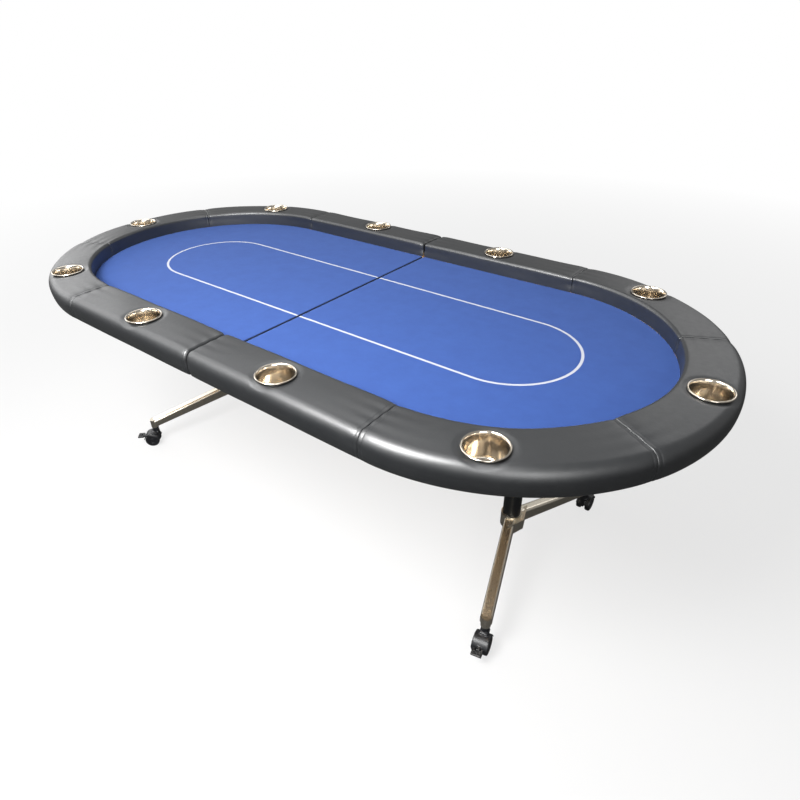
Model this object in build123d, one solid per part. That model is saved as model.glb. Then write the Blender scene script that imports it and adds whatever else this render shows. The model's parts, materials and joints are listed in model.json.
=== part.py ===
from build123d import *
import math
import os

# A fold-up poker table: two padded half tops hinged at the middle, carried by two
# column pedestals on swivel casters. Millimetres, +Z up, origin on the floor under
# the middle of the table, +X along the table. The left half mirrors the right half.

# --- table plan and heights ---------------------------------------------------
ARC_X = 525.0              # centre of each rounded end
OUTER_R = 533.5            # outside of the padded rail
INNER_R = 407.5            # inside of the padded rail
FELT_Z = 670.0             # playing surface
RAIL_TOP = 715.5           # rail at its inner edge
RAIL_FALL = 3.0            # how far the rail top falls to its outer edge
RAIL_BOTTOM = 648.0
SPLIT = 2.3                # half of the gap between the two rails
BOARD_SPLIT = 0.5          # half of the gap between the two boards
SEAM = 0.3                 # half of the gap between neighbouring foam blocks

DECK_R = 515.0
DECK_BOTTOM = 647.0
DECK_TOP = 665.0
CORE_R = 412.0             # inside of the plywood ring in the rail
CORE_TOP = 680.0
FIT = 0.2                  # loose gap around glued parts
PANEL_ANGLE = 60.0         # each rounded end has three sewn panels

# --- drink cups ---------------------------------------------------------------
CUP_LINE = 474.0           # cup centres, measured like a rail radius
CUP_ANGLE = 63.8
CUP_X = 248.0              # cups on the straight sides
CUP_R = 38.0               # inside of the cup
CUP_WALL = 1.0
CUP_FLANGE_R = 46.0
CUP_TOP = 717.2
CUP_FLANGE = 3.4
CUP_DEPTH = 60.0

# --- fold linkage -------------------------------------------------------------
PIVOT_X = 608.0            # pedestal axis
PIVOT_Z = 610.0            # half top turns here on the pedestal
HINGE_X = 20.0             # half top turns here on the middle bracket
HINGE_Z = 630.0
STAY_DROP = 60.0           # stays run parallel, this far below
PIN_R = 8.0
RUN = 0.05                 # running clearance on a pin
EYE_R = 14.0
LUG_Y = 95.0               # middle plane of the pivot lugs on a half top
LUG_T = 10.0
BRACKET_Y = 118.0          # middle plane of the bracket's side plates
BRACKET_T = 6.0
STAY_Y = 130.0
STAY_T = 8.0
STAY_HEIGHT = 26.0
FRAME_Y = 155.0            # frame tubes under the deck
TUBE = 25.0
BAR_T = 12.0

# --- pedestal -----------------------------------------------------------------
COLUMN_R = 25.0
COLUMN_BOTTOM = 138.0
COLUMN_TOP = 576.0
HUB_R = 29.0
HUB_TOP = 167.0
HUB_BOTTOM = 124.0
CASTER_X = 712.0           # caster stems
CASTER_Y = 306.0
ARM_W = 31.0
ARM_ROOT = (124.0, 166.0)  # bottom and top of an arm at the hub
ARM_END = (78.0, 108.0)
SPIGOT_R = 13.0
SPIGOT_BOTTOM = 76.0

# --- casters ------------------------------------------------------------------
WHEEL_R = 25.0
TRAIL = 18.0
WHEEL_IN = 7.0
WHEEL_OUT = 21.0
AXLE_R = 4.0
STEM_R = 5.5
STEM_BOTTOM = 55.0
STEM_TOP = 100.0
NECK_R = 12.0
NECK_BOTTOM = 51.0
NECK_TOP = 75.5
WEB_T = 10.0
FENDER_R = 29.0
FENDER_T = 2.6
FENDER_W = 44.0
PEDAL_U = 50.0             # brake pedal pin, from the stem
PEDAL_Z = 39.0
PEDAL_PIN_R = 2.5

# Each caster trails its own way, as they come to rest after the table is rolled.
CASTERS = {
    "front_right": (1, -1, -78.0),
    "rear_right": (1, 1, 90.0),
    "front_left": (-1, -1, -135.0),
    "rear_left": (-1, 1, 118.0),
}

LOW = (Align.CENTER, Align.CENTER, Align.MIN)
SIDES = {"right": 1, "left": -1}


def block(x, y, z):
    """A box from its (low, high) pairs."""
    size = [b - a for a, b in (x, y, z)]
    middle = [(a + b) / 2 for a, b in (x, y, z)]
    return Pos(*middle) * Box(*size)


def post(r, x, y, z):
    """An upright cylinder between two heights."""
    return Pos(x, y, z[0]) * Cylinder(r, z[1] - z[0], align=LOW)


def pin(r, x, z, y):
    """A cylinder along Y between two places."""
    rod = Rot(-90, 0, 0) * Cylinder(r, y[1] - y[0], align=LOW)
    return Pos(x, y[0], z) * rod


def plan(r, x0, z):
    """The right half of the table's outline, at one radius, as a slab."""
    disc = post(r, ARC_X, 0, z)
    bar = block((x0, ARC_X), (-r, r), z)
    return bar + (disc & block((x0, ARC_X + r + 1), (-r - 1, r + 1), z))


def cup_places():
    """Centres of the five cups in the right half."""
    places = [(CUP_X, -CUP_LINE), (CUP_X, CUP_LINE)]
    for angle in (-CUP_ANGLE, 0.0, CUP_ANGLE):
        turn = math.radians(angle)
        places.append((ARC_X + CUP_LINE * math.cos(turn), CUP_LINE * math.sin(turn)))
    return places


def drill(solid, r, z):
    """Holes for the cups."""
    for x, y in cup_places():
        solid -= post(r, x, y, z)
    return solid


# --- half top -----------------------------------------------------------------
def deck():
    board = plan(DECK_R, BOARD_SPLIT, (DECK_BOTTOM, DECK_TOP))
    return drill(board, CUP_R + CUP_WALL + FIT, (DECK_BOTTOM - 1, DECK_TOP + 1))


def felt():
    return plan(INNER_R - FIT, BOARD_SPLIT, (DECK_TOP, FELT_Z))


def rail_core():
    height = (DECK_TOP, CORE_TOP)
    ring = plan(DECK_R, SPLIT, height) - plan(CORE_R, SPLIT - 1, (DECK_TOP - 1, CORE_TOP + 1))
    return drill(ring, CUP_R + CUP_WALL + FIT, (DECK_TOP - 1, CORE_TOP + 1))


def pad_section():
    """Rail padding cut across: outside skirt, flat sloping top, short inside face."""
    skirt = DECK_R + FIT
    inside = CORE_R - FIT
    points = [
        (INNER_R, FELT_Z + FIT),
        (INNER_R, RAIL_TOP),
        (OUTER_R, RAIL_TOP - RAIL_FALL),
        (OUTER_R, RAIL_BOTTOM),
        (skirt, RAIL_BOTTOM),
        (skirt, CORE_TOP + FIT),
        (inside, CORE_TOP + FIT),
        (inside, FELT_Z + FIT),
    ]
    outline = Plane.XZ * make_face(Polyline(*points, close=True))
    corners = outline.vertices()
    inner_top = corners.filter_by(lambda v: v.X < INNER_R + 1 and v.Z > RAIL_TOP - 1)
    outer_top = corners.filter_by(lambda v: v.X > OUTER_R - 1 and v.Z > RAIL_TOP - 5)
    outer_foot = corners.filter_by(lambda v: v.X > OUTER_R - 1 and v.Z < RAIL_TOP - 20)
    outline = fillet(inner_top, 8)
    outline = fillet(outline.vertices().sort_by_distance(outer_top[0])[0], 18)
    return fillet(outline.vertices().sort_by_distance(outer_foot[0])[0], 9)


def rail_pads():
    """Five foam blocks: a straight one at each side and three round the end."""
    section = pad_section()
    pads = {}
    length = ARC_X - SEAM - SPLIT
    bar = extrude(section, amount=length, dir=(0, -1, 0))
    pads["side_rear"] = Pos(SPLIT, 0, 0) * (Rot(0, 0, 90) * bar)
    pads["side_front"] = mirror(pads["side_rear"], about=Plane.XZ)
    seam_angle = math.degrees(2 * SEAM / OUTER_R)
    sweep_angle = PANEL_ANGLE - seam_angle
    arc = revolve(section, axis=Axis.Z, revolution_arc=sweep_angle)
    for index, name in enumerate(("end_front", "end_middle", "end_rear")):
        start = -90.0 + PANEL_ANGLE * index + seam_angle / 2
        pads[name] = Pos(ARC_X, 0, 0) * (Rot(0, 0, start) * arc)
    for name in pads:
        pads[name] = drill(pads[name], CUP_R + CUP_WALL + FIT, (RAIL_BOTTOM, CUP_TOP + 10))
        seat = (CUP_TOP - CUP_FLANGE - FIT, CUP_TOP + 10)
        pads[name] = drill(pads[name], CUP_FLANGE_R + FIT, seat)
    return pads


def cup(x, y):
    """A pressed steel cup: straight wall, flat floor and a rolled flange."""
    low = CUP_TOP - CUP_DEPTH
    flange = post(CUP_FLANGE_R, x, y, (CUP_TOP - CUP_FLANGE, CUP_TOP))
    flange = fillet(flange.edges().group_by(Axis.Z)[-1], 2.6)
    wall = post(CUP_R + CUP_WALL, x, y, (low, CUP_TOP - 1))
    bore = post(CUP_R, x, y, (low + CUP_WALL, CUP_TOP + 1))
    return (flange + wall) - bore


def subframe():
    """Welded steel frame under a half top, with its pivot lugs and hinge knuckles."""
    under = (DECK_BOTTOM - TUBE, DECK_BOTTOM)
    bar = (DECK_BOTTOM - BAR_T, DECK_BOTTOM)
    plate = (DECK_BOTTOM - 5, DECK_BOTTOM)
    frame = block((300, 320), (-FRAME_Y, FRAME_Y), bar)
    frame += block((840, 860), (-FRAME_Y, FRAME_Y), bar)
    for s in (-1, 1):
        y_tube = sorted((s * (FRAME_Y - TUBE / 2), s * (FRAME_Y + TUBE / 2)))
        frame += block((60, 900), y_tube, under)
        y_plate = sorted((s * (LUG_Y - LUG_T / 2), s * FRAME_Y))
        frame += block((PIVOT_X - 32, PIVOT_X + 32), y_plate, plate)
        frame += block((46, 90), y_plate, plate)
        y_lug = sorted((s * (LUG_Y - LUG_T / 2), s * (LUG_Y + LUG_T / 2)))
        lug = pin(EYE_R, PIVOT_X, PIVOT_Z, y_lug)
        lug += block((PIVOT_X - EYE_R, PIVOT_X + EYE_R), y_lug, (PIVOT_Z, DECK_BOTTOM))
        knuckle = pin(12, HINGE_X, HINGE_Z, y_lug)
        knuckle += block((HINGE_X, 60), y_lug, (HINGE_Z - 6, DECK_BOTTOM))
        knuckle += block((HINGE_X - 12, HINGE_X + 2), y_lug, (HINGE_Z, DECK_BOTTOM))
        frame += lug - pin(PIN_R + RUN, PIVOT_X, PIVOT_Z, (y_lug[0] - 1, y_lug[1] + 1))
        frame += knuckle - pin(PIN_R + RUN, HINGE_X, HINGE_Z, (y_lug[0] - 1, y_lug[1] + 1))
    return frame


# --- fold linkage -------------------------------------------------------------
def bracket_pins():
    """Short pins pressed through the bracket plates: knuckles above, stays below."""
    pins = []
    for x in (-HINGE_X, HINGE_X):
        for s in (-1, 1):
            upper = sorted((s * (LUG_Y - LUG_T / 2), s * (BRACKET_Y + BRACKET_T / 2)))
            lower = sorted((s * (BRACKET_Y - BRACKET_T / 2), s * (STAY_Y + STAY_T / 2 + 2)))
            pins.append(pin(PIN_R, x, HINGE_Z, upper))
            pins.append(pin(PIN_R, x, HINGE_Z - STAY_DROP, lower))
    return pins


def middle_bracket():
    """Two rounded side plates and the tube between them."""
    low = HINGE_Z - STAY_DROP
    bracket = block((-10, 10), (-BRACKET_Y, BRACKET_Y), (low + 10, HINGE_Z - 10))
    for s in (-1, 1):
        y_plate = sorted((s * (BRACKET_Y - BRACKET_T / 2), s * (BRACKET_Y + BRACKET_T / 2)))
        plate = block((-HINGE_X, HINGE_X), y_plate, (low - EYE_R, HINGE_Z + EYE_R))
        plate += block((-HINGE_X - EYE_R, HINGE_X + EYE_R), y_plate, (low, HINGE_Z))
        for x in (-HINGE_X, HINGE_X):
            for z in (low, HINGE_Z):
                plate += pin(EYE_R, x, z, y_plate)
        bracket += plate
    for rod in bracket_pins():
        bracket -= rod
    return bracket


def stay_pair():
    """Two flat bars from the pedestal head to the middle bracket."""
    start = Vector(HINGE_X, 0, HINGE_Z - STAY_DROP)
    end = Vector(PIVOT_X, 0, PIVOT_Z - STAY_DROP)
    run = end - start
    tilt = math.degrees(math.atan2(run.Z, run.X))
    bars = []
    for s in (-1, 1):
        y_bar = sorted((s * (STAY_Y - STAY_T / 2), s * (STAY_Y + STAY_T / 2)))
        size = (run.length, STAY_T, STAY_HEIGHT)
        bar = Box(*size, align=(Align.MIN, Align.CENTER, Align.CENTER))
        bar = Pos(start.X, s * STAY_Y, start.Z) * (Rot(0, -tilt, 0) * bar)
        for eye in (start, end):
            bar += pin(EYE_R, eye.X, eye.Z, y_bar)
        hole = (y_bar[0] - 1, y_bar[1] + 1)
        bar -= pin(PIN_R + 2 * RUN, start.X, start.Z, hole)
        bar -= pin(PIN_R + RUN, end.X, end.Z, hole)
        bars.append(bar)
    return bars


# --- pedestal -----------------------------------------------------------------
def head_pins():
    low = PIVOT_Z - STAY_DROP
    reach = LUG_Y + LUG_T / 2 + 6
    pins = [pin(PIN_R, PIVOT_X, PIVOT_Z, (-reach, reach))]
    for s in (-1, 1):
        y_pin = sorted((s * 100, s * (STAY_Y + STAY_T / 2 + 2)))
        pins.append(pin(PIN_R, PIVOT_X, low, y_pin))
    return pins


def head():
    """Welded head: a socket over the column, an upper pivot block and a cross arm."""
    low = PIVOT_Z - STAY_DROP
    body = post(COLUMN_R + 6, PIVOT_X, 0, (low - 30, COLUMN_TOP + 6))
    body += block((PIVOT_X - EYE_R, PIVOT_X + EYE_R), (-118, 118), (low - EYE_R, low + EYE_R))
    body += block((PIVOT_X - EYE_R, PIVOT_X + EYE_R), (-85, 85), (COLUMN_TOP, PIVOT_Z))
    body += pin(EYE_R, PIVOT_X, PIVOT_Z, (-85, 85))
    body -= post(COLUMN_R, PIVOT_X, 0, (low - 31, COLUMN_TOP))
    for rod in head_pins():
        body -= rod
    return body


def column():
    tube = post(COLUMN_R, PIVOT_X, 0, (COLUMN_BOTTOM, COLUMN_TOP))
    return tube - post(COLUMN_R - 2.5, PIVOT_X, 0, (COLUMN_BOTTOM - 1, COLUMN_TOP - 4))


def arm(side):
    """One tapering arm of the foot, from the hub down to its caster spigot."""
    reach = math.hypot(CASTER_X - PIVOT_X, CASTER_Y)
    turn = math.degrees(math.atan2(CASTER_Y, CASTER_X - PIVOT_X))
    side_view = Polyline(
        (0, ARM_ROOT[0]), (0, ARM_ROOT[1]), (reach, ARM_END[1]), (reach, ARM_END[0]), close=True
    )
    bar = extrude(Plane.XZ * make_face(side_view), amount=ARM_W / 2, both=True)
    bar = fillet(bar.edges().filter_by(Axis.X, reverse=True).filter_by(Axis.Y, reverse=True)
                 .filter_by(Axis.Z, reverse=True), 8)
    bar += Pos(reach, 0, SPIGOT_BOTTOM) * Cylinder(SPIGOT_R, ARM_END[1] - SPIGOT_BOTTOM, align=LOW)
    bar = Pos(PIVOT_X, 0, 0) * (Rot(0, 0, side * turn) * bar)
    return bar - post(STEM_R, CASTER_X, side * CASTER_Y, (SPIGOT_BOTTOM - 1, STEM_TOP))


def foot():
    """Cast foot: hub, two splayed arms and the web in their crotch."""
    casting = post(HUB_R, PIVOT_X, 0, (HUB_BOTTOM, HUB_TOP)) + arm(1) + arm(-1)
    web = Polyline((PIVOT_X, 0), (PIVOT_X + 20, 60), (PIVOT_X + 40, 0), (PIVOT_X + 20, -60), close=True)
    casting += Pos(0, 0, ARM_ROOT[0]) * extrude(make_face(web), amount=34)
    return casting - post(COLUMN_R, PIVOT_X, 0, (COLUMN_BOTTOM, HUB_TOP + 1))


def stems():
    height = (STEM_BOTTOM, STEM_TOP)
    return [post(STEM_R, CASTER_X, s * CASTER_Y, height) for s in (-1, 1)]


# --- caster, stem at the origin, trailing along +X, axle along Y ---------------
def hood():
    """Caster body: neck, middle web and the curved fender over both wheels."""
    half_w = FENDER_W / 2
    body = post(NECK_R, 0, 0, (NECK_BOTTOM, NECK_TOP))
    body += block((-NECK_R, TRAIL + 6), (-WEB_T / 2, WEB_T / 2), (WHEEL_R, NECK_BOTTOM + 2))
    body += pin(9, TRAIL, WHEEL_R, (-WEB_T / 2, WEB_T / 2))
    fender = pin(FENDER_R, TRAIL, WHEEL_R, (-half_w, half_w))
    fender -= pin(FENDER_R - FENDER_T, TRAIL, WHEEL_R, (-half_w - 1, half_w + 1))
    body += fender & block((-20, 60), (-half_w, half_w), (WHEEL_R + 6, 70))
    body += block((TRAIL, PEDAL_U + 4), (-WEB_T / 2, WEB_T / 2), (PEDAL_Z - 6, PEDAL_Z + 4))
    body -= pin(PEDAL_PIN_R + RUN, PEDAL_U, PEDAL_Z, (-WEB_T, WEB_T))
    body -= pin(AXLE_R + RUN, TRAIL, WHEEL_R, (-WEB_T, WEB_T))
    return body - post(STEM_R + RUN, 0, 0, (STEM_BOTTOM - 1, NECK_TOP + 1))


def wheels():
    """Twin wheels fixed on one axle."""
    pair = []
    for s in (-1, 1):
        y_wheel = sorted((s * WHEEL_IN, s * WHEEL_OUT))
        disc = pin(WHEEL_R, TRAIL, WHEEL_R, y_wheel)
        disc = fillet(disc.edges().filter_by(GeomType.CIRCLE), 3)
        pair.append(disc - pin(AXLE_R, TRAIL, WHEEL_R, (y_wheel[0] - 1, y_wheel[1] + 1)))
    return pair


def axle():
    return pin(AXLE_R, TRAIL, WHEEL_R, (-WHEEL_OUT, WHEEL_OUT))


def pedal():
    """Brake pedal: a tread on two cheeks, with its cross pin through the web."""
    tread = block((PEDAL_U + 5, PEDAL_U + 19), (-14, 14), (PEDAL_Z - 3, PEDAL_Z + 3))
    tread = fillet(tread.edges().filter_by(Axis.Z), 4)
    for s in (-1, 1):
        y_cheek = sorted((s * 6, s * 14))
        cheek = pin(4, PEDAL_U, PEDAL_Z, y_cheek)
        tread += cheek + block((PEDAL_U, PEDAL_U + 10), y_cheek, (PEDAL_Z - 3, PEDAL_Z + 3))
    return tread + pin(PEDAL_PIN_R, PEDAL_U, PEDAL_Z, (-14, 14))


def save(name, solids):
    """Write one sub-part; a list is a group of like solids."""
    shape = Compound(children=solids) if isinstance(solids, list) else solids
    export_step(shape, f"parts/{name}.step")


def on_side(sign, shape):
    """The right-hand shape, or its mirror image on the left."""
    if sign > 0:
        return shape
    if isinstance(shape, list):
        return [mirror(solid, about=Plane.YZ) for solid in shape]
    return mirror(shape, about=Plane.YZ)


def main():
    os.makedirs("parts", exist_ok=True)
    halves = {
        "deck": deck(),
        "felt": felt(),
        "rail_core": rail_core(),
        "subframe": subframe(),
        "stays": stay_pair(),
        "column": column(),
        "head": head(),
        "head_pins": head_pins(),
        "foot": foot(),
        "caster_stems": stems(),
    }
    for name, pad in rail_pads().items():
        halves[f"rail_pad_{name}"] = pad
    cup_names = ("side_front", "side_rear", "end_front", "end_middle", "end_rear")
    for name, (x, y) in zip(cup_names, cup_places()):
        halves[f"cup_{name}"] = cup(x, y)
    for side, sign in SIDES.items():
        for name, shape in halves.items():
            save(f"{side}_{name}", on_side(sign, shape))
    save("middle_bracket", middle_bracket())
    save("middle_hinge_pins", bracket_pins())
    pieces = {"hood": hood(), "wheels": wheels(), "axle": axle(), "pedal": pedal()}
    for corner, (x_sign, y_sign, heading) in CASTERS.items():
        place = Pos(x_sign * CASTER_X, y_sign * CASTER_Y, 0) * Rot(0, 0, heading)
        for name, shape in pieces.items():
            solids = shape if isinstance(shape, list) else [shape]
            moved = [place * solid for solid in solids]
            save(f"{corner}_{name}", moved if len(moved) > 1 else moved[0])


main()
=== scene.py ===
import json
import math
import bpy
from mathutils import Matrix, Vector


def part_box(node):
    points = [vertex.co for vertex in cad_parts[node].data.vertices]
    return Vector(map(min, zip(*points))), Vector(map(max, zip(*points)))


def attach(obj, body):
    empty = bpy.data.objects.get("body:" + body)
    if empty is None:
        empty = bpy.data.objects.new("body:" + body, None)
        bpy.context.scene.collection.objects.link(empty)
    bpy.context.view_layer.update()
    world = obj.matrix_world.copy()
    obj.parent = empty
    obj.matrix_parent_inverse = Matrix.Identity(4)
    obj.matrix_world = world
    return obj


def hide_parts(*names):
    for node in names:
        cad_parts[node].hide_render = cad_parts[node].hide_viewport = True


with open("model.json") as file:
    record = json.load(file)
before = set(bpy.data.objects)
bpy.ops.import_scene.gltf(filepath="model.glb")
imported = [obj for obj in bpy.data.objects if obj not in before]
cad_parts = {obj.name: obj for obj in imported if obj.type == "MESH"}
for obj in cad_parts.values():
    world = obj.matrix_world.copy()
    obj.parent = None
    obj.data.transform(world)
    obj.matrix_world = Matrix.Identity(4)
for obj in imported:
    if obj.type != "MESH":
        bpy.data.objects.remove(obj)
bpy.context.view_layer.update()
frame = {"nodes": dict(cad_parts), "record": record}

import bmesh
import bpy
from bpy.props import FloatProperty, FloatVectorProperty, IntProperty, PointerProperty
from mathutils import Matrix, Vector

bl_info = {
    "name": "Folding Poker Table",
    "version": (1, 0, 0),
    "blender": (4, 5, 0),
    "location": "View3D > Sidebar > Poker Table",
    "description": "Upholstery, playing cloth, cups, casters and finishes of a folding poker table",
    "category": "Object",
}

WELD = 0.00002             # points closer than this are made one
SIDES = {"right": 1, "left": -1}
PANELS = ("side_front", "end_front", "end_middle", "end_rear", "side_rear")
CORNERS = {"front_right": -78.0, "rear_right": 90.0, "front_left": -135.0, "rear_left": 118.0}


def low(node):
    """Lowest corner of a frame node, metres."""
    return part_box(node)[0]


def high(node):
    """Highest corner of a frame node, metres."""
    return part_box(node)[1]


def middle(node):
    """Centre of a frame node's box."""
    return (low(node) + high(node)) / 2


# Heights and radii of the half top, taken from the frame.
OUTER = high("right_rail_pad_side_rear").y
INNER = low("right_rail_pad_side_rear").y
RAIL_TOP = high("right_rail_pad_side_rear").z
RAIL_BOTTOM = low("right_rail_pad_side_rear").z
SPLIT = low("right_rail_pad_side_rear").x
ARC_X = high("right_rail_pad_end_middle").x - OUTER
FELT_TOP = high("right_felt").z
DECK_TOP = high("right_deck").z
BOARD_SPLIT = low("right_felt").x
CLOTH_R = high("right_felt").y
DECK_R = high("right_deck").y
CORE_TOP = high("right_rail_core").z


def linear(code):
    """An sRGB hex colour as linear red, green, blue and alpha."""
    channels = [int(code[i:i + 2], 16) / 255 for i in (0, 2, 4)]
    curve = [c / 12.92 if c <= 0.04045 else ((c + 0.055) / 1.055) ** 2.4 for c in channels]
    return (*curve, 1.0)


# --- sizes and colours a user would change --------------------------------------
class TableSizes(bpy.types.PropertyGroup):
    shoulder_width: FloatProperty(
        name="Shoulder width", description="How far the rail's outer shoulder rolls over",
        default=0.024, unit="LENGTH")
    shoulder_drop: FloatProperty(
        name="Shoulder drop", description="Height of the rolled outer shoulder",
        default=0.030, unit="LENGTH")
    inner_round: FloatProperty(
        name="Inner edge", description="Rounding of the rail's inner top edge",
        default=0.009, unit="LENGTH")
    seam_round: FloatProperty(
        name="Seam edge", description="Rounding of a panel where it is sewn to the next",
        default=0.0028, unit="LENGTH")
    end_round: FloatProperty(
        name="Split edge", description="Rounding of a panel at the split of the table",
        default=0.008, unit="LENGTH")
    cloth_thickness: FloatProperty(
        name="Cloth thickness", description="Thickness of the playing cloth",
        default=0.0009, unit="LENGTH")
    line_radius: FloatProperty(
        name="Betting line radius", description="Radius of the betting line's round ends",
        default=0.1725, unit="LENGTH")
    line_centre: FloatProperty(
        name="Betting line centre", description="Centre of the line's round ends, from the split",
        default=0.550, unit="LENGTH")
    line_width: FloatProperty(
        name="Betting line width", description="Width of the printed line",
        default=0.0066, unit="LENGTH")
    ring_steps: IntProperty(
        name="Round steps", description="Sides of a turned piece", default=96, min=24, max=192)


class TableColours(bpy.types.PropertyGroup):
    leather: FloatVectorProperty(
        name="Rail", description="Faux leather of the rail",
        size=4, subtype="COLOR", min=0, max=1, default=linear("0a0d10"))
    leather_worn: FloatVectorProperty(
        name="Rail, rubbed", description="Faux leather where hands rub it paler",
        size=4, subtype="COLOR", min=0, max=1, default=linear("101214"))
    cloth: FloatVectorProperty(
        name="Cloth", description="Playing cloth",
        size=4, subtype="COLOR", min=0, max=1, default=linear("2c4782"))
    cloth_dark: FloatVectorProperty(
        name="Cloth, shaded", description="Cloth where the nap lies the other way",
        size=4, subtype="COLOR", min=0, max=1, default=linear("28417b"))
    line: FloatVectorProperty(
        name="Betting line", description="Printed betting line",
        size=4, subtype="COLOR", min=0, max=1, default=linear("a2a4ac"))


# --- small tools ------------------------------------------------------------------
def deselect():
    """Leave nothing selected."""
    bpy.ops.object.select_all(action="DESELECT")


def only(piece):
    """Make one object the selected and active one."""
    deselect()
    piece.select_set(True)
    bpy.context.view_layer.objects.active = piece


def named(name):
    """Give the new active object its name."""
    piece = bpy.context.object
    piece.name = name
    piece.data.name = name
    return piece


def settle(piece):
    """Put the object's place, turn and scale into its mesh."""
    only(piece)
    bpy.ops.object.transform_apply(location=True, rotation=True, scale=True)


def place(piece, where, heading=0.0):
    """Turn a finished piece about Z, set it down and settle it."""
    piece.rotation_euler = (0, 0, math.radians(heading))
    piece.location = where
    settle(piece)


def tidy_mesh(piece, smooth=40.0):
    """Merge doubles, turn the faces outwards and smooth the gentle edges."""
    only(piece)
    bpy.ops.object.mode_set(mode="EDIT")
    bpy.ops.mesh.select_all(action="SELECT")
    bpy.ops.mesh.remove_doubles(threshold=WELD)
    bpy.ops.mesh.normals_make_consistent(inside=False)
    bpy.ops.object.mode_set(mode="OBJECT")
    bpy.ops.object.shade_smooth_by_angle(angle=math.radians(smooth))


def modifier(piece, kind, **settings):
    """Add a modifier with its settings and apply it."""
    only(piece)
    change = piece.modifiers.new(kind.lower(), kind)
    for key, value in settings.items():
        setattr(change, key, value)
    bpy.ops.object.modifier_apply(modifier=change.name)


def cut(piece, cutter):
    """Take the cutter's shape out of the piece and remove the cutter."""
    modifier(piece, "BOOLEAN", operation="DIFFERENCE", object=cutter, solver="EXACT")
    bpy.data.objects.remove(cutter)


def join(pieces, name):
    """Several objects made one."""
    deselect()
    for piece in pieces:
        piece.select_set(True)
    bpy.context.view_layer.objects.active = pieces[0]
    bpy.ops.object.join()
    return named(name)


def copy_of(piece, name):
    """A copy with its own mesh."""
    twin = piece.copy()
    twin.data = piece.data.copy()
    twin.name = name
    twin.data.name = name
    bpy.context.collection.objects.link(twin)
    return twin


def from_mesh(name, mesh):
    """An object from bmesh data, faces turned outwards."""
    bmesh.ops.recalc_face_normals(mesh, faces=mesh.faces)
    data = bpy.data.meshes.new(name)
    mesh.to_mesh(data)
    mesh.free()
    piece = bpy.data.objects.new(name, data)
    bpy.context.collection.objects.link(piece)
    for face in data.polygons:
        face.use_smooth = True
    return piece


def turned(name, rings, steps):
    """A turned piece: a circle drawn out ring by ring, each given as (radius, height)."""
    deselect()
    radius, height = rings[0]
    bpy.ops.mesh.primitive_circle_add(
        vertices=steps, radius=radius, fill_type="NGON", location=(0, 0, height))
    piece = named(name)
    bpy.ops.object.mode_set(mode="EDIT")
    bpy.ops.mesh.select_all(action="SELECT")
    for new_radius, new_height in rings[1:]:
        bpy.ops.mesh.extrude_region_move()
        scale = new_radius / radius
        bpy.ops.transform.resize(value=(scale, scale, 1))
        bpy.ops.transform.translate(value=(0, 0, new_height - height))
        radius, height = new_radius, new_height
    bpy.ops.object.mode_set(mode="OBJECT")
    settle(piece)
    return piece


def bar(name, size, where, bevel=0.0, segments=3):
    """A bevelled block."""
    deselect()
    bpy.ops.mesh.primitive_cube_add(size=1, location=where)
    piece = named(name)
    piece.scale = size
    settle(piece)
    if bevel:
        modifier(piece, "BEVEL", width=bevel, segments=segments, limit_method="ANGLE")
    return piece


def finish_with(piece, material):
    """Give a piece one material all over."""
    piece.data.materials.clear()
    piece.data.materials.append(material)


# --- materials --------------------------------------------------------------------
def new_material(name):
    """An empty material and its node tree."""
    material = bpy.data.materials.new(name)
    material.use_nodes = True
    material.node_tree.nodes.clear()
    return material, material.node_tree


def add(tree, kind, inputs=None, **settings):
    """Add one node: settings on the node, then values or links on its inputs."""
    node = tree.nodes.new(kind)
    for key, value in settings.items():
        setattr(node, key, value)
    for key, value in (inputs or {}).items():
        if isinstance(value, bpy.types.NodeSocket):
            tree.links.new(value, node.inputs[key])
        else:
            node.inputs[key].default_value = value
    return node


def close(tree, shader):
    """Join the shader to the material's output."""
    add(tree, "ShaderNodeOutputMaterial", {"Surface": shader.outputs[0]})


def faux_leather(colours):
    """PVC leathercloth over foam: a fine pebbled grain with a satin top coat, so light spreads
    into broad soft patches, and the embossing breaks it up close to."""
    material, tree = new_material("faux_leather")
    where = add(tree, "ShaderNodeTexCoord").outputs["Object"]
    pebble_mm = 2.4      # embossed pebbles are 1 to 1.5 mm; drawn coarser so that they show
    grain = add(tree, "ShaderNodeTexVoronoi", {"Vector": where, "Scale": 1000 / pebble_mm},
                feature="SMOOTH_F1")
    creases = add(tree, "ShaderNodeTexNoise",
                  {"Vector": where, "Scale": 1000 / 14, "Detail": 6.0, "Roughness": 0.62})
    clouds = add(tree, "ShaderNodeTexNoise",
                 {"Vector": where, "Scale": 1000 / 130, "Detail": 3.0, "Roughness": 0.5})
    tone = add(tree, "ShaderNodeMapRange",
               {"Value": clouds.outputs["Fac"], "From Min": 0.35, "From Max": 0.7})
    colour = add(tree, "ShaderNodeMix",
                 {"Factor": tone.outputs["Result"], 6: colours.leather, 7: colours.leather_worn},
                 data_type="RGBA")
    gloss = add(tree, "ShaderNodeMapRange",
                {"Value": creases.outputs["Fac"], "To Min": 0.37, "To Max": 0.52})
    fine = add(tree, "ShaderNodeBump",
               {"Height": grain.outputs["Distance"], "Strength": 0.16, "Distance": 0.0004})
    relief = add(tree, "ShaderNodeBump",
                 {"Height": creases.outputs["Fac"], "Strength": 0.22, "Distance": 0.0012,
                  "Normal": fine.outputs["Normal"]})
    shader = add(tree, "ShaderNodeBsdfPrincipled",
                 {"Base Color": colour.outputs[2], "Roughness": gloss.outputs["Result"],
                  "Normal": relief.outputs["Normal"], "IOR": 1.5, "Specular IOR Level": 1.0,
                  "Coat Weight": 0.2, "Coat Roughness": 0.5})
    close(tree, shader)
    return material


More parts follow.
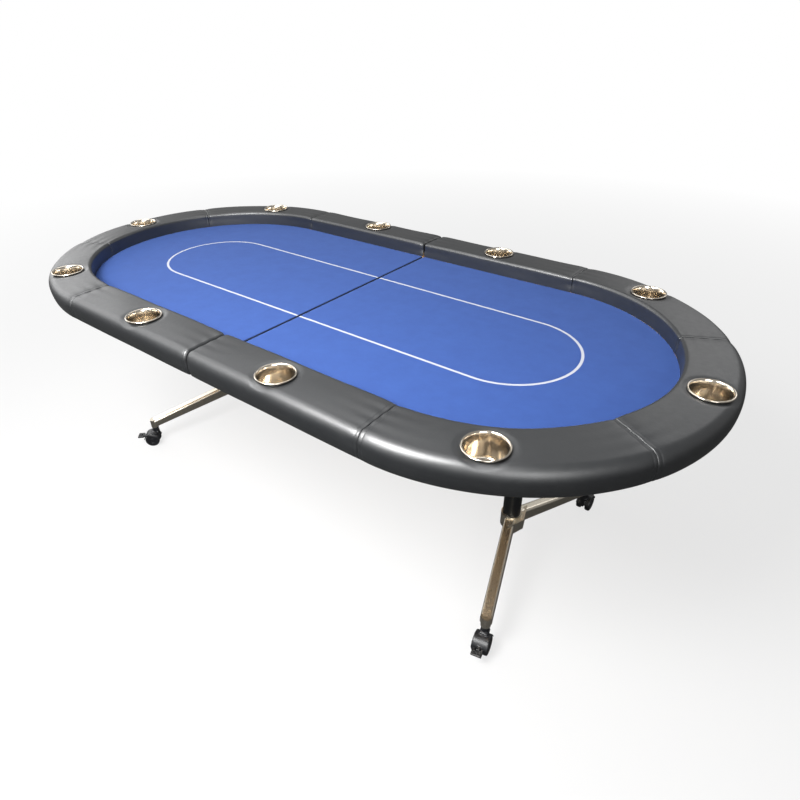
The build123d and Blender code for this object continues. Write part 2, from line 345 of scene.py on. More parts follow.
def playing_cloth(sizes, colours):
    """Brushed polyester speed cloth, dyed royal blue, the betting line printed on: a short nap
    that pales at grazing angles and a weave that gives a faint cross tooth."""
    material, tree = new_material("playing_cloth")
    where = add(tree, "ShaderNodeTexCoord").outputs["Object"]
    thread_mm = 1.6      # threads are about 0.4 mm apart; drawn coarser so that they show
    warp = add(tree, "ShaderNodeTexWave", {"Vector": where, "Scale": 1000 / thread_mm / 6.283,
               "Distortion": 1.5, "Detail": 2.0}, bands_direction="X")
    weft = add(tree, "ShaderNodeTexWave", {"Vector": where, "Scale": 1000 / thread_mm / 6.283,
               "Distortion": 1.5, "Detail": 2.0}, bands_direction="Y")
    weave = add(tree, "ShaderNodeMath", {0: warp.outputs["Fac"], 1: weft.outputs["Fac"]},
                operation="MULTIPLY")
    nap = add(tree, "ShaderNodeTexNoise",
              {"Vector": where, "Scale": 1000 / 38, "Detail": 7.0, "Roughness": 0.68})
    lie = add(tree, "ShaderNodeMapRange",
              {"Value": nap.outputs["Fac"], "From Min": 0.3, "From Max": 0.72})
    dyed = add(tree, "ShaderNodeMix",
               {"Factor": lie.outputs["Result"], 6: colours.cloth_dark, 7: colours.cloth},
               data_type="RGBA")
    parts = add(tree, "ShaderNodeSeparateXYZ", {0: where})
    along = add(tree, "ShaderNodeMath", {0: parts.outputs["X"]}, operation="ABSOLUTE")
    past = add(tree, "ShaderNodeMath", {0: along.outputs[0], 1: sizes.line_centre},
               operation="SUBTRACT")
    past = add(tree, "ShaderNodeMath", {0: past.outputs[0], 1: 0.0}, operation="MAXIMUM")
    point = add(tree, "ShaderNodeCombineXYZ", {"X": past.outputs[0], "Y": parts.outputs["Y"]})
    reach = add(tree, "ShaderNodeVectorMath", {0: point.outputs[0]}, operation="LENGTH")
    off = add(tree, "ShaderNodeMath", {0: reach.outputs["Value"], 1: sizes.line_radius},
              operation="SUBTRACT")
    off = add(tree, "ShaderNodeMath", {0: off.outputs[0]}, operation="ABSOLUTE")
    ink = add(tree, "ShaderNodeMapRange",
              {"Value": off.outputs[0], "From Min": sizes.line_width / 2 - 0.0004,
               "From Max": sizes.line_width / 2 + 0.0006, "To Min": 1.0, "To Max": 0.0})
    colour = add(tree, "ShaderNodeMix",
                 {"Factor": ink.outputs["Result"], 6: dyed.outputs[2], 7: colours.line},
                 data_type="RGBA")
    # Painted shade: within about 3 to 6 mm of the split, the cloth colour is blended to blue-black,
    # where the cloth turns down into the gap and lies in shade.
    painted_split_shade = add(tree, "ShaderNodeMapRange",
               {"Value": along.outputs[0], "From Min": 0.0030, "From Max": 0.0058,
                "To Min": 1.0, "To Max": 0.0})
    colour = add(tree, "ShaderNodeMix",
                 {"Factor": painted_split_shade.outputs["Result"], 6: colour.outputs[2], 7: linear("0b1226")},
                 data_type="RGBA")
    tooth = add(tree, "ShaderNodeBump",
                {"Height": weave.outputs[0], "Strength": 0.12, "Distance": 0.0004})
    ripple = add(tree, "ShaderNodeBump",
                 {"Height": nap.outputs["Fac"], "Strength": 0.25, "Distance": 0.0012,
                  "Normal": tooth.outputs["Normal"]})
    shader = add(tree, "ShaderNodeBsdfPrincipled",
                 {"Base Color": colour.outputs[2], "Roughness": 0.88,
                  "Normal": ripple.outputs["Normal"], "Specular IOR Level": 0.25,
                  "Sheen Weight": 0.10, "Sheen Roughness": 0.45,
                  "Sheen Tint": linear("b9cdf5")})
    close(tree, shader)
    return material


def drawn_steel(name, colour, rough, brush_mm):
    """Stainless steel, drawn to shape then linished round and round: fine rings that
    stretch every reflection upright, on a faintly warm grey."""
    material, tree = new_material(name)
    where = add(tree, "ShaderNodeTexCoord").outputs["Object"]
    flat = add(tree, "ShaderNodeMapping", {"Vector": where, "Scale": (4.0, 4.0, 1000 / brush_mm)})
    rings = add(tree, "ShaderNodeTexNoise",
                {"Vector": flat.outputs[0], "Scale": 1.0, "Detail": 5.0, "Roughness": 0.7})
    gloss = add(tree, "ShaderNodeMapRange",
                {"Value": rings.outputs["Fac"], "To Min": rough * 0.8, "To Max": rough * 1.3})
    marks = add(tree, "ShaderNodeBump",
                {"Height": rings.outputs["Fac"], "Strength": 0.12, "Distance": 0.0003})
    shader = add(tree, "ShaderNodeBsdfPrincipled",
                 {"Base Color": linear(colour), "Metallic": 1.0,
                  "Roughness": gloss.outputs["Result"], "Normal": marks.outputs["Normal"]})
    close(tree, shader)
    return material


def polished_casting():
    """Cast aluminium alloy, ground and buffed bright: a clear but slightly soft mirror with
    a warm cast, and a few long hollows left by the buffing wheel."""
    material, tree = new_material("polished_cast_aluminium")
    where = add(tree, "ShaderNodeTexCoord").outputs["Object"]
    hollows = add(tree, "ShaderNodeTexNoise",
                  {"Vector": where, "Scale": 1000 / 45, "Detail": 2.0, "Roughness": 0.5})
    haze = add(tree, "ShaderNodeTexNoise",
               {"Vector": where, "Scale": 1000 / 3, "Detail": 4.0, "Roughness": 0.7})
    gloss = add(tree, "ShaderNodeMapRange",
                {"Value": haze.outputs["Fac"], "To Min": 0.22, "To Max": 0.36})
    relief = add(tree, "ShaderNodeBump",
                 {"Height": hollows.outputs["Fac"], "Strength": 0.10, "Distance": 0.001})
    shader = add(tree, "ShaderNodeBsdfPrincipled",
                 {"Base Color": linear("dcd4c4"), "Metallic": 1.0,
                  "Roughness": gloss.outputs["Result"], "Normal": relief.outputs["Normal"]})
    close(tree, shader)
    return material


def powder_coat(name, colour):
    """Black powder coat baked on steel tube: an even satin with a slight orange peel."""
    material, tree = new_material(name)
    where = add(tree, "ShaderNodeTexCoord").outputs["Object"]
    peel = add(tree, "ShaderNodeTexNoise",
               {"Vector": where, "Scale": 1000 / 2.2, "Detail": 3.0, "Roughness": 0.5})
    gloss = add(tree, "ShaderNodeMapRange",
                {"Value": peel.outputs["Fac"], "To Min": 0.32, "To Max": 0.46})
    relief = add(tree, "ShaderNodeBump",
                 {"Height": peel.outputs["Fac"], "Strength": 0.18, "Distance": 0.0003})
    shader = add(tree, "ShaderNodeBsdfPrincipled",
                 {"Base Color": linear(colour), "Roughness": gloss.outputs["Result"],
                  "Normal": relief.outputs["Normal"], "IOR": 1.5})
    close(tree, shader)
    return material


def moulded_nylon():
    """Injection-moulded black nylon: a dull spark-eroded skin, a little paler where scuffed."""
    material, tree = new_material("moulded_nylon")
    where = add(tree, "ShaderNodeTexCoord").outputs["Object"]
    skin = add(tree, "ShaderNodeTexNoise",
               {"Vector": where, "Scale": 1000 / 1.5, "Detail": 4.0, "Roughness": 0.6})
    scuffs = add(tree, "ShaderNodeTexNoise",
                 {"Vector": where, "Scale": 1000 / 22, "Detail": 6.0, "Roughness": 0.7})
    wear = add(tree, "ShaderNodeMapRange",
               {"Value": scuffs.outputs["Fac"], "From Min": 0.5, "From Max": 0.8})
    colour = add(tree, "ShaderNodeMix",
                 {"Factor": wear.outputs["Result"], 6: linear("0e0f12"), 7: linear("1d1e21")},
                 data_type="RGBA")
    gloss = add(tree, "ShaderNodeMapRange",
                {"Value": skin.outputs["Fac"], "To Min": 0.34, "To Max": 0.5})
    relief = add(tree, "ShaderNodeBump",
                 {"Height": skin.outputs["Fac"], "Strength": 0.2, "Distance": 0.0002})
    shader = add(tree, "ShaderNodeBsdfPrincipled",
                 {"Base Color": colour.outputs[2], "Roughness": gloss.outputs["Result"],
                  "Normal": relief.outputs["Normal"], "IOR": 1.53})
    close(tree, shader)
    return material


def birch_plywood():
    """Birch plywood, sanded and unlacquered: pale rotary-cut faces, striped edges where the
    plies show dark and light in turn."""
    material, tree = new_material("birch_plywood")
    where = add(tree, "ShaderNodeTexCoord").outputs["Object"]
    long_grain = add(tree, "ShaderNodeMapping", {"Vector": where, "Scale": (6.0, 90.0, 90.0)})
    figure = add(tree, "ShaderNodeTexNoise",
                 {"Vector": long_grain.outputs[0], "Scale": 1.0, "Detail": 6.0, "Roughness": 0.6,
                  "Distortion": 0.8})
    face = add(tree, "ShaderNodeMix",
               {"Factor": figure.outputs["Fac"], 6: linear("b8956a"), 7: linear("d9bd93")},
               data_type="RGBA")
    ply_mm = 1.4
    plies = add(tree, "ShaderNodeTexWave", {"Vector": where, "Scale": 1000 / ply_mm / 12.57,
                "Distortion": 0.3}, bands_direction="Z")
    edge = add(tree, "ShaderNodeMix",
               {"Factor": plies.outputs["Fac"], 6: linear("8a6742"), 7: linear("cdae82")},
               data_type="RGBA")
    facing = add(tree, "ShaderNodeNewGeometry")
    up = add(tree, "ShaderNodeSeparateXYZ", {0: facing.outputs["True Normal"]})
    flatness = add(tree, "ShaderNodeMath", {0: up.outputs["Z"]}, operation="ABSOLUTE")
    colour = add(tree, "ShaderNodeMix",
                 {"Factor": flatness.outputs[0], 6: edge.outputs[2], 7: face.outputs[2]},
                 data_type="RGBA")
    relief = add(tree, "ShaderNodeBump",
                 {"Height": figure.outputs["Fac"], "Strength": 0.15, "Distance": 0.0004})
    shader = add(tree, "ShaderNodeBsdfPrincipled",
                 {"Base Color": colour.outputs[2], "Roughness": 0.62,
                  "Normal": relief.outputs["Normal"]})
    close(tree, shader)
    return material


# --- rail -------------------------------------------------------------------------
CUP_HOLE_R = 0.0412        # hole in the padding, clear of the cup's flared mouth


def rail_section(sizes):
    """The padded rail cut across, as (radius, height, how far it may swell) going round."""
    fall = 0.0026
    crown = 0.0008
    edge, reach, drop = sizes.inner_round, sizes.shoulder_width, sizes.shoulder_drop
    tuck = 0.009
    skirt = DECK_R + 0.0004
    ledge = INNER + 0.0041
    base = FELT_TOP + 0.0003
    roof = CORE_TOP + 0.0003
    points = []
    for i in range(6):
        height = base + (RAIL_TOP - edge - base) * i / 6
        points.append((INNER, height, 1.0 if height > CORE_TOP + 0.004 else 0.3))
    for i in range(9):
        turn = math.pi - math.pi / 2 * i / 8
        points.append((INNER + edge + edge * math.cos(turn),
                       RAIL_TOP - edge + edge * math.sin(turn), 1.0))
    flat_start = INNER + edge
    flat_end = OUTER - reach
    for i in range(1, 24):
        t = i / 24
        height = RAIL_TOP - fall * t + crown * math.sin(math.pi * t)
        points.append((flat_start + (flat_end - flat_start) * t, height, 1.0))
    for i in range(13):
        turn = math.pi / 2 * (1 - i / 12)
        points.append((flat_end + reach * math.cos(turn),
                       RAIL_TOP - fall - drop + drop * math.sin(turn), 1.0))
    belly = RAIL_TOP - fall - drop
    for i in range(1, 11):
        turn = math.pi / 2 * i / 10
        points.append((OUTER - tuck + tuck * math.cos(turn),
                       belly - (belly - RAIL_BOTTOM) * math.sin(turn), 1.0 - 0.08 * i))
    for radius, height in ((skirt, RAIL_BOTTOM), (skirt, roof), (ledge, roof), (ledge, base)):
        points.append((radius, height, 0.0))
    return points


def section_normals(points):
    """Outward direction at each point of the section."""
    normals = []
    count = len(points)
    for i in range(count):
        before, after = points[i - 1], points[(i + 1) % count]
        run = Vector((after[0] - before[0], after[1] - before[1])).normalized()
        normals.append(Vector((-run.y, run.x)))
    return normals


def stations(length, start_round, end_round, step=0.0055):
    """Distances along a panel, with how far the leather turns in at each."""
    turn_steps = 7
    stops = []
    for i in range(turn_steps):
        turn = math.pi / 2 * i / turn_steps
        stops.append((start_round * (1 - math.cos(turn)), start_round * (1 - math.sin(turn))))
    first, last = start_round, length - end_round
    near = [0.0015 * i for i in range(10)]
    clear = last - first - 2 * near[-1]
    count = round(clear / step)
    spread = [first + near[-1] + clear * i / count for i in range(1, count)]
    for stop in [first + n for n in near] + spread + [last - n for n in reversed(near)]:
        stops.append((stop, 0.0))
    for i in reversed(range(turn_steps)):
        turn = math.pi / 2 * i / turn_steps
        stops.append((length - end_round * (1 - math.cos(turn)), end_round * (1 - math.sin(turn))))
    return stops


def swell(distance, length, across, phase):
    """How far the stuffing lifts the leather: drawn in at the seams, easy in between."""
    near = min(distance, length - distance)
    pull = -0.0014 * math.exp(-(near / 0.016) ** 2)
    stitching = -0.0007 * math.exp(-((near - 0.0085) / 0.0013) ** 2)
    gather = 0.0006 * math.exp(-near / 0.045) * math.sin(across * 210 + phase)
    roll = 0.0005 * math.sin(distance * 23 + across * 31 + phase)
    return pull + stitching + gather + roll


def dip_for_cup(point, cup):
    """The leather is pressed down round a cup's flange."""
    seat, rim, soft = 0.0027, 0.0465, 0.013
    reach = (Vector((point.x, point.y)) - Vector((cup.x, cup.y))).length
    if point.z < RAIL_TOP - 0.012 or reach > rim + soft:
        return point
    ease = 1.0 if reach < rim else 0.5 + 0.5 * math.cos(math.pi * (reach - rim) / soft)
    return Vector((point.x, point.y, point.z - seat * ease))


def panel_path(name):
    """Length of a panel and a function from distance to (point on the axis, outward way)."""
    seam_gap = 0.0001
    if name.startswith("side"):
        sign = 1 if name == "side_rear" else -1
        length = ARC_X - SPLIT - seam_gap

        def along(distance):
            return Vector((SPLIT + distance, 0)), Vector((0, sign))
        return length, along
    start = -90.0 + 60.0 * ("end_front", "end_middle", "end_rear").index(name)
    mean = (INNER + OUTER) / 2
    length = math.radians(60.0) * mean - 2 * seam_gap

    def around(distance):
        turn = math.radians(start) + (distance + seam_gap) / mean
        return Vector((ARC_X, 0)), Vector((math.cos(turn), math.sin(turn)))
    return length, around


def rail_panel(side, name, sizes):
    """One sewn panel of the rail: leather over foam, closed all round, with its cup hole."""
    sign = SIDES[side]
    section = rail_section(sizes)
    normals = section_normals(section)
    length, path = panel_path(name)
    first = sizes.end_round if name.startswith("side") else sizes.seam_round
    cup = middle(f"{side}_cup_{name}")
    mesh = bmesh.new()
    loops = []
    phase = 1.7 * PANELS.index(name) + (0.9 if sign < 0 else 0.0)
    for distance, inset in stations(length, first, sizes.seam_round):
        axis, way = path(distance)
        loop = []
        for (radius, height, free), normal in zip(section, normals):
            lift = (swell(distance, length, radius + height, phase) - inset) * free
            out = radius + normal.x * lift
            point = Vector(((axis.x + way.x * out) * sign, axis.y + way.y * out,
                            height + normal.y * lift))
            loop.append(mesh.verts.new(dip_for_cup(point, cup)))
        loops.append(loop)
    count = len(section)
    for here, there in zip(loops, loops[1:]):
        for i in range(count):
            j = (i + 1) % count
            mesh.faces.new((here[i], here[j], there[j], there[i]))
    mesh.faces.new(loops[0])
    mesh.faces.new(list(reversed(loops[-1])))
    piece = from_mesh(f"{side}_rail_panel_{name}", mesh)
    deselect()
    bpy.ops.mesh.primitive_cylinder_add(
        vertices=sizes.ring_steps, radius=CUP_HOLE_R, depth=0.12, location=(cup.x, cup.y, RAIL_TOP))
    cut(piece, named("cup_cutter"))
    only(piece)
    bpy.ops.object.shade_smooth_by_angle(angle=math.radians(50))
    return piece


class TABLE_OT_rail(bpy.types.Operator):
    """Sew the ten padded panels of the rail"""
    bl_idname = "poker_table.rail"
    bl_label = "Padded rail"

    def execute(self, context):
        scene = context.scene
        leather = faux_leather(scene.table_colours)
        for side in SIDES:
            for name in PANELS:
                piece = rail_panel(side, name, scene.table_sizes)
                finish_with(piece, leather)
                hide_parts(f"{side}_rail_pad_{name}")
                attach(piece, f"{side}_top")
        return {"FINISHED"}


# --- playing cloth ----------------------------------------------------------------
def cloth_half(side, sizes):
    """Cloth pulled flat over the foam and turned down over the board's edge at the split."""
    sign = SIDES[side]
    thick = sizes.cloth_thickness
    turn_r = 0.0045
    edge = BOARD_SPLIT + 0.0016
    top = FELT_TOP - thick
    rows = [(BOARD_SPLIT + 0.0002, DECK_TOP + 0.0002 - thick), (edge, FELT_TOP - turn_r)]
    for i in range(1, 7):
        turn = math.pi / 2 * i / 6
        rows.append((edge + turn_r * (1 - math.cos(turn)),
                     top - turn_r * (1 - math.sin(turn))))
    straight = 60
    for i in range(1, straight + 1):
        rows.append((edge + turn_r + (ARC_X - edge - turn_r) * i / straight, top))
    bend = 48
    for i in range(1, bend):
        rows.append((ARC_X + CLOTH_R * math.sin(math.pi / 2 * i / bend), top))
    columns = 72
    mesh = bmesh.new()
    grid = []
    for x, z in rows:
        past = max(x - ARC_X, 0.0)
        half = math.sqrt(max(CLOTH_R ** 2 - past ** 2, 0.0))
        line = []
        for j in range(columns + 1):
            y = half * (2 * j / columns - 1)
            line.append(mesh.verts.new((x * sign, y, z)))
        grid.append(line)
    tip = mesh.verts.new(((ARC_X + CLOTH_R) * sign, 0, top))
    for here, there in zip(grid, grid[1:]):
        for j in range(columns):
            mesh.faces.new((here[j], there[j], there[j + 1], here[j + 1]))
    for j in range(columns):
        mesh.faces.new((grid[-1][j], tip, grid[-1][j + 1]))
    bmesh.ops.recalc_face_normals(mesh, faces=mesh.faces)
    centre = max(mesh.faces, key=lambda face: face.calc_area())
    if centre.normal.z < 0:
        bmesh.ops.reverse_faces(mesh, faces=mesh.faces)
    data = bpy.data.meshes.new(f"{side}_cloth")
    mesh.to_mesh(data)
    mesh.free()
    piece = bpy.data.objects.new(f"{side}_cloth", data)
    bpy.context.collection.objects.link(piece)
    modifier(piece, "SOLIDIFY", thickness=thick, offset=1.0)
    for face in piece.data.polygons:
        face.use_smooth = True
    only(piece)
    bpy.ops.object.shade_smooth_by_angle(angle=math.radians(40))
    return piece


class TABLE_OT_cloth(bpy.types.Operator):
    """Lay the playing cloth on both halves"""
    bl_idname = "poker_table.cloth"
    bl_label = "Playing cloth"

    def execute(self, context):
        scene = context.scene
        sizes = scene.table_sizes
        cloth = playing_cloth(sizes, scene.table_colours)
        for side in SIDES:
            piece = cloth_half(side, sizes)
            finish_with(piece, cloth)
            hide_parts(f"{side}_felt")
            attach(piece, f"{side}_top")
        return {"FINISHED"}


# --- cups -------------------------------------------------------------------------
def drink_cup(sizes):
    """A drawn steel cup at the origin, its flange top at height zero."""
    depth = high("right_cup_side_front").z - low("right_cup_side_front").z
    outer = 0.039
    bore = 0.038
    floor = -depth
    outline = [
        (0.0300, floor), (0.0360, floor), (0.0382, floor + 0.0011), (outer, floor + 0.0040),
        (outer, -0.0230), (0.0396, -0.0130), (0.0405, -0.0068), (0.0420, -0.0040),
        (0.0450, -0.0033), (0.0459, -0.0024), (0.0458, -0.0011), (0.0449, -0.0003),
        (0.0438, 0.0), (0.0426, -0.0005), (0.0416, -0.0018), (0.0408, -0.0036),
        (0.0401, -0.0062), (0.0393, -0.0105), (0.0386, -0.0160), (bore, -0.0230),
        (bore, floor + 0.0090), (0.0376, floor + 0.0058), (0.0362, floor + 0.0033),
        (0.0338, floor + 0.0017), (0.0300, floor + 0.0011), (0.0180, floor + 0.0010),
        (0.0040, floor + 0.0010),
    ]
    piece = turned("cup_pattern", outline, sizes.ring_steps)
    tidy_mesh(piece, smooth=60)
    return piece


class TABLE_OT_cups(bpy.types.Operator):
    """Drop a drawn steel cup into each hole of the rail"""
    bl_idname = "poker_table.cups"
    bl_label = "Drink cups"

    def execute(self, context):
        sizes = context.scene.table_sizes
        steel = drawn_steel("linished_stainless", "d2c9bb", 0.17, 0.9)
        pattern = drink_cup(sizes)
        for side in SIDES:
            for name in PANELS:
                node = f"{side}_cup_{name}"
                piece = copy_of(pattern, f"{side}_drink_cup_{name}")
                place(piece, (middle(node).x, middle(node).y, high(node).z))
                finish_with(piece, steel)
                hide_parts(node)
                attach(piece, f"{side}_top")
        bpy.data.objects.remove(pattern)
        return {"FINISHED"}


# --- casters ----------------------------------------------------------------------
WHEEL_R = high("rear_right_wheels").z / 2
TRAIL = 0.018              # axle behind the stem
WHEEL_GAP = 0.007          # from the middle to a wheel's inner face
COVER_R = 0.029
COVER_WALL = 0.0028
COVER_HALF = 0.0218        # half the hood's width
WEB_T = 0.0098
STEM_R = 0.0055


def caster_hood(sizes):
    """Hood of a caster at the origin: neck, web and the curved cover over both wheels."""
    deselect()
    bpy.ops.mesh.primitive_cylinder_add(
        vertices=sizes.ring_steps, radius=COVER_R, depth=2 * COVER_HALF,
        location=(TRAIL, 0, WHEEL_R), rotation=(math.pi / 2, 0, 0))
    cover = named("hood_cover")
    settle(cover)
    modifier(cover, "BEVEL", width=0.0035, segments=4, limit_method="ANGLE")
    deselect()
    bpy.ops.mesh.primitive_cylinder_add(
        vertices=sizes.ring_steps, radius=COVER_R - COVER_WALL, depth=2 * COVER_HALF + 0.01,
        location=(TRAIL, 0, WHEEL_R), rotation=(math.pi / 2, 0, 0))
    inner = named("hood_inner")
    settle(inner)
    cut(cover, inner)
    cut(cover, bar("hood_trim", (0.2, 0.2, 0.1), (TRAIL, 0, WHEEL_R - 0.045)))
    neck = turned("hood_neck", [
        (0.0119, 0.0485), (0.0119, 0.0560), (0.0112, 0.0590), (0.0110, 0.0705),
        (0.0114, 0.0738), (0.0106, 0.0752), (0.0060, 0.0752)], 48)
    web = bar("hood_web", (0.036, WEB_T, 0.027), (0.0065, 0, 0.0385), 0.0015)
    boss = turned("hood_boss", [(0.0088, -0.0049), (0.0090, -0.0040), (0.0090, 0.0040),
                                (0.0088, 0.0049)], 48)
    boss.rotation_euler = (math.pi / 2, 0, 0)
    boss.location = (TRAIL, 0, WHEEL_R)
    settle(boss)
    shoulder = bar("hood_shoulder", (0.026, 0.024, 0.009), (0.003, 0, 0.0545), 0.004, 4)
    tongue = bar("hood_tongue", (0.014, WEB_T, 0.009), (0.046, 0, 0.0375), 0.0015)
    piece = join([cover, neck, web, boss, shoulder, tongue], "hood_pattern")
    modifier(piece, "REMESH", mode="VOXEL", voxel_size=0.0009)
    modifier(piece, "SMOOTH", factor=0.5, iterations=4)
    modifier(piece, "DECIMATE", ratio=0.45)
    tidy_mesh(piece, smooth=60)
    return piece


def caster_wheels(sizes):
    """Twin wheels: rounded tread, a ring groove on the face, a raised cap and its axle end."""
    outline = [
        (0.0040, 0.0), (0.0205, 0.0), (0.0236, 0.0006), (0.0247, 0.0022), (WHEEL_R, 0.0045),
        (WHEEL_R, 0.0098), (0.0246, 0.0122), (0.0232, 0.0135), (0.0216, 0.0138),
        (0.0211, 0.0130), (0.0204, 0.0130), (0.0199, 0.0139), (0.0110, 0.0140),
        (0.0103, 0.0130), (0.0094, 0.0130), (0.0087, 0.0140), (0.0056, 0.0143),
        (0.0020, 0.0144)]
    wheels = []
    for sign in (-1, 1):
        wheel = turned("wheel", outline, sizes.ring_steps)
        tidy_mesh(wheel, smooth=35)
        wheel.rotation_euler = (-sign * math.pi / 2, 0, 0)
        wheel.location = (TRAIL, sign * WHEEL_GAP, WHEEL_R)
        settle(wheel)
        wheels.append(wheel)
    return join(wheels, "wheel_pattern")


def caster_pedal():
    """Brake pedal: a ribbed tread with a lip, on two cheeks."""
    pin_x, pin_z = 0.050, 0.039
    tread = bar("tread", (0.0145, 0.028, 0.0058), (pin_x + 0.0118, 0, pin_z), 0.0022, 4)
    parts = [tread]
    for i in range(3):
        rib_x = pin_x + 0.0075 + 0.004 * i
        parts.append(bar("rib", (0.0014, 0.022, 0.0012), (rib_x, 0, pin_z + 0.0030), 0.0004, 2))
    for sign in (-1, 1):
        parts.append(bar("cheek", (0.013, 0.0076, 0.0066), (pin_x + 0.0030, sign * 0.010, pin_z),
                         0.0026, 4))
    return join(parts, "pedal_pattern")


class TABLE_OT_casters(bpy.types.Operator):
    """Model one caster and set it under each arm of the feet"""
    bl_idname = "poker_table.casters"
    bl_label = "Casters"

    def execute(self, context):
        sizes = context.scene.table_sizes
        nylon = moulded_nylon()
        patterns = {
            "hood": (caster_hood(sizes), "caster"),
            "wheels": (caster_wheels(sizes), "wheel_set"),
            "pedal": (caster_pedal(), "brake"),
        }
        stem_x = high("right_caster_stems").x - STEM_R
        stem_y = high("right_caster_stems").y - STEM_R
        for corner, heading in CORNERS.items():
            x = stem_x if corner.endswith("right") else -stem_x
            y = stem_y if corner.startswith("rear") else -stem_y
            for part, (pattern, body) in patterns.items():
                piece = copy_of(pattern, f"{corner}_caster_{part}")
                place(piece, (x, y, 0), heading)
                finish_with(piece, nylon)
                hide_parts(f"{corner}_{part}")
                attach(piece, f"{corner}_{body}")
        for pattern, body in patterns.values():
            bpy.data.objects.remove(pattern)
        return {"FINISHED"}


# --- finishes of the frame's own nodes --------------------------------------------
class TABLE_OT_finishes(bpy.types.Operator):
    """Give every metal and wooden part of the frame its finish"""
    bl_idname = "poker_table.finishes"
    bl_label = "Frame finishes"

    def execute(self, context):
        finishes = {
            "ply": birch_plywood(),
            "cast_foot": polished_casting(),
            "column": powder_coat("column_powder_coat", "07090c"),
            "frame_steel": powder_coat("frame_powder_coat", "17181a"),
            "pin_steel": drawn_steel("turned_steel", "b4b2ae", 0.3, 0.5),
        }
        slots = {part["node"]: part["material_slot"] for part in frame["record"]["subparts"]}
        for node, piece in frame["nodes"].items():
            if slots[node] in finishes:
                finish_with(piece, finishes[slots[node]])
        return {"FINISHED"}


# --- stage ------------------------------------------------------------------------
def soft_box(name, where, aim, size, power):
    """A rectangular studio lamp pointed at a place."""
    lamp = bpy.data.lights.new(name, "AREA")
    lamp.shape = "RECTANGLE"
    lamp.size, lamp.size_y = size
    lamp.energy = power
    holder = bpy.data.objects.new(name, lamp)
    holder.location = where
    holder.rotation_euler = (Vector(aim) - Vector(where)).to_track_quat("-Z", "Y").to_euler()
    bpy.context.collection.objects.link(holder)


def seen_rays(tree, mirror_share):
    """1 for rays from the eye or through glass, part of 1 from a mirror, 0 for the others;
    and 1 for rays from a mirror alone."""
    path = add(tree, "ShaderNodeLightPath")
    direct = add(tree, "ShaderNodeMath",
                 {0: path.outputs["Is Camera Ray"], 1: path.outputs["Is Transmission Ray"]},
                 operation="MAXIMUM")
    mirrored = add(tree, "ShaderNodeMath", {0: path.outputs["Is Glossy Ray"], 1: mirror_share},
                   operation="MULTIPLY")
    seen = add(tree, "ShaderNodeMath", {0: direct.outputs[0], 1: mirrored.outputs[0]},
               operation="MAXIMUM")
    return seen, path.outputs["Is Glossy Ray"]


def pale_floor():
    """Seamless white studio paper: white far off, a faint shadow near the table. It lights the
    table's underside, but is held dark in the sheen of the leather."""
    material, tree = new_material("studio_paper")
    seen, mirrored = seen_rays(tree, 0.08)
    where = add(tree, "ShaderNodeTexCoord").outputs["Object"]
    reach = add(tree, "ShaderNodeVectorMath", {0: where}, operation="LENGTH")
    share = add(tree, "ShaderNodeMapRange",
                {"Value": reach.outputs["Value"], "From Min": 1.6, "From Max": 5.0,
                 "To Min": 0.72, "To Max": 1.0})
    share = add(tree, "ShaderNodeMath", {0: seen.outputs[0], 1: share.outputs["Result"]},
                operation="MULTIPLY")
    tone = add(tree, "ShaderNodeMix",
               {"Factor": mirrored, 6: linear("bcbcbc"), 7: linear("2a2a2a")},
               data_type="RGBA")
    paper = add(tree, "ShaderNodeBsdfDiffuse", {"Color": tone.outputs[2]})
    white = add(tree, "ShaderNodeEmission", {"Color": linear("ffffff"), "Strength": 1.0})
    mix = add(tree, "ShaderNodeMixShader",
              {0: share.outputs[0], 1: paper.outputs[0], 2: white.outputs[0]})
    close(tree, mix)
    return material


def white_world(level):
    """An even white room: white to the eye, softer as a lamp."""
    world = bpy.data.worlds.new("studio")
    world.use_nodes = True
    tree = world.node_tree
    tree.nodes.clear()
    seen = seen_rays(tree, 0.28)[0]
    strength = add(tree, "ShaderNodeMapRange",
                   {"Value": seen.outputs[0], "To Min": level, "To Max": 1.0})
    glow = add(tree, "ShaderNodeBackground",
               {"Color": linear("ffffff"), "Strength": strength.outputs["Result"]})
    add(tree, "ShaderNodeOutputWorld", {"Surface": glow.outputs[0]})
    bpy.context.scene.world = world


def camera():
    """Camera above the right front of the table, looking down its length."""
    place_m = (1.1288, -1.1727, 1.3498)
    turn, tilt, roll = 38.61, 32.82, -1.075
    lens = bpy.data.cameras.new("camera")
    lens.sensor_width = 36.0
    lens.lens = 26.76
    lens.shift_x = 0.0065
    lens.clip_end = 100.0
    eye = bpy.data.objects.new("camera", lens)
    eye.matrix_world = (
        Matrix.Translation(place_m) @ Matrix.Rotation(math.radians(turn), 4, "Z")
        @ Matrix.Rotation(math.radians(90 - tilt), 4, "X")
        @ Matrix.Rotation(math.radians(roll), 4, "Z"))
    bpy.context.collection.objects.link(eye)
    bpy.context.scene.camera = eye


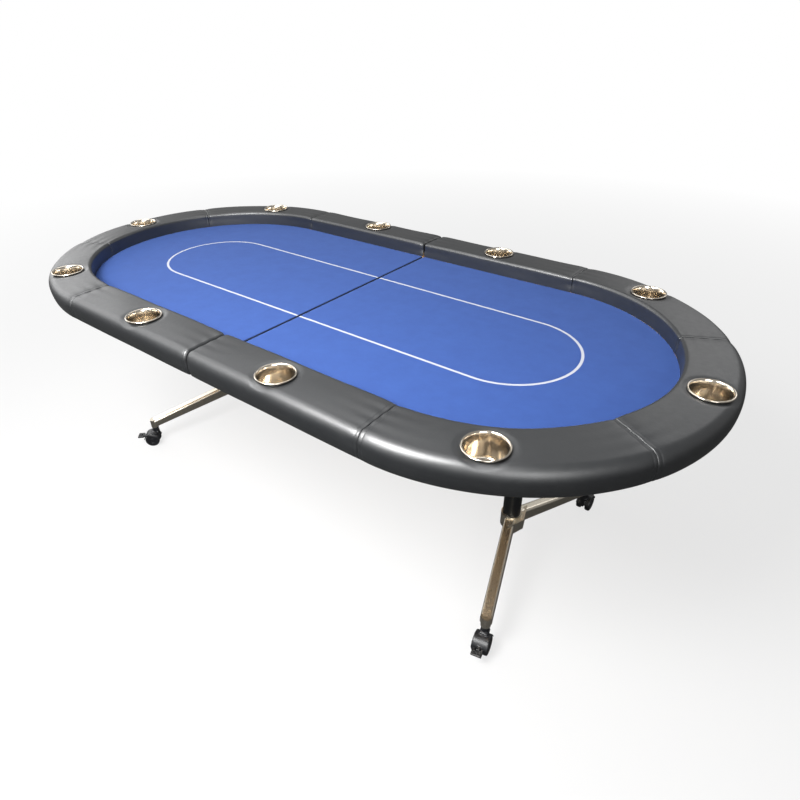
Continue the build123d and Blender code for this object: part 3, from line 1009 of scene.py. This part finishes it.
class TABLE_OT_stage(bpy.types.Operator):
    """Set up the floor, lamps, white surroundings and camera"""
    bl_idname = "poker_table.stage"
    bl_label = "Studio"

    def execute(self, context):
        deselect()
        bpy.ops.mesh.primitive_plane_add(size=60, location=(0, 0, 0))
        floor = named("floor")
        finish_with(floor, pale_floor())
        white_world(0.10)
        for i, x in enumerate((-7.3, -4.2, -1.1)):
            soft_box(f"ceiling_{i}", (x, -1.4, 3.0), (x, -1.4, 0), (2.3, 5.2), 74)
        soft_box("left_window", (-5.5, -0.3, 2.1), (-0.8, -0.2, 0.9), (4.4, 1.8), 66)
        soft_box("rear_window", (0.7, 3.6, 2.6), (0.9, 0, 0.7), (1.6, 1.0), 12)
        soft_box("front_key", (0.15, -1.5, 1.95), (0.15, -0.3, 0.7), (1.0, 0.8), 100)
        soft_box("right_fill", (2.6, -2.3, 1.9), (0.7, -0.2, 0.3), (1.5, 1.5), 50)
        camera()
        context.scene.view_settings.view_transform = "Standard"
        return {"FINISHED"}


# --- add-on -----------------------------------------------------------------------
class TABLE_PT_panel(bpy.types.Panel):
    bl_label = "Poker Table"
    bl_idname = "TABLE_PT_panel"
    bl_space_type = "VIEW_3D"
    bl_region_type = "UI"
    bl_category = "Poker Table"

    def draw(self, context):
        for step in STEPS:
            self.layout.operator(step.bl_idname)
        for group in (context.scene.table_sizes, context.scene.table_colours):
            for key in group.bl_rna.properties.keys():
                if key not in ("rna_type", "name"):
                    self.layout.prop(group, key)


STEPS = (TABLE_OT_rail, TABLE_OT_cloth, TABLE_OT_cups, TABLE_OT_casters, TABLE_OT_finishes,
         TABLE_OT_stage)
CLASSES = (TableSizes, TableColours, *STEPS, TABLE_PT_panel)


def register():
    """Add the table's settings, steps and panel to Blender."""
    for kind in CLASSES:
        bpy.utils.register_class(kind)
    bpy.types.Scene.table_sizes = PointerProperty(type=TableSizes)
    bpy.types.Scene.table_colours = PointerProperty(type=TableColours)


def unregister():
    """Take them out again."""
    del bpy.types.Scene.table_colours
    del bpy.types.Scene.table_sizes
    for kind in reversed(CLASSES):
        bpy.utils.unregister_class(kind)


def main():
    """Build the whole table."""
    register()
    for step in STEPS:
        group, name = step.bl_idname.split(".")
        getattr(getattr(bpy.ops, group), name)()


if __name__ == "__main__":
    main()
